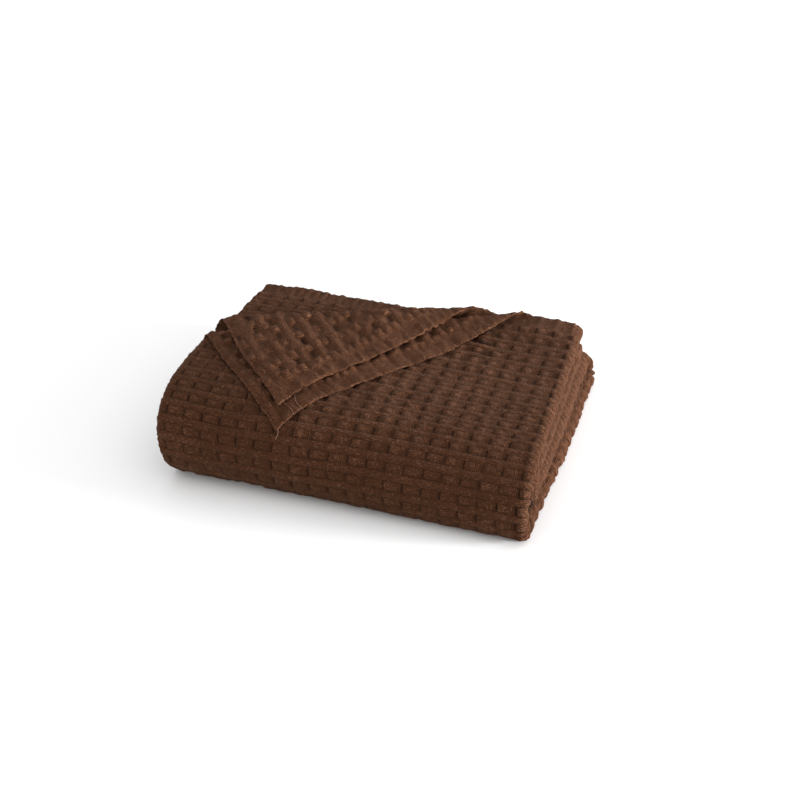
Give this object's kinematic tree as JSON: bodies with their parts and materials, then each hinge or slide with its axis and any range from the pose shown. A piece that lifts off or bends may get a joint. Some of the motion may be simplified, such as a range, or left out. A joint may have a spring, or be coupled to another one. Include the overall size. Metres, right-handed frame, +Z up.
{
  "type": "waffle weave cotton blanket",
  "caption": "Brown waffle weave cotton blanket, folded to a soft rectangle with a rounded front and one top corner turned over towards the front.",
  "frame": {"origin": "middle of the flat underside on which the folded blanket rests, below the middle of its box", "axes": "+X along the folded length to the end with the rounded fold edges, +Y from the rounded front to the back with the cloth's end, +Z up"},
  "size_m": [0.592, 0.5102, 0.1592],
  "materials": {
    "cotton": "matt chocolate brown waffle weave cotton with a flat woven hem band"
  },
  "bodies": {
    "root": {"blanket": "cotton"}
  },
  "joints": []
}
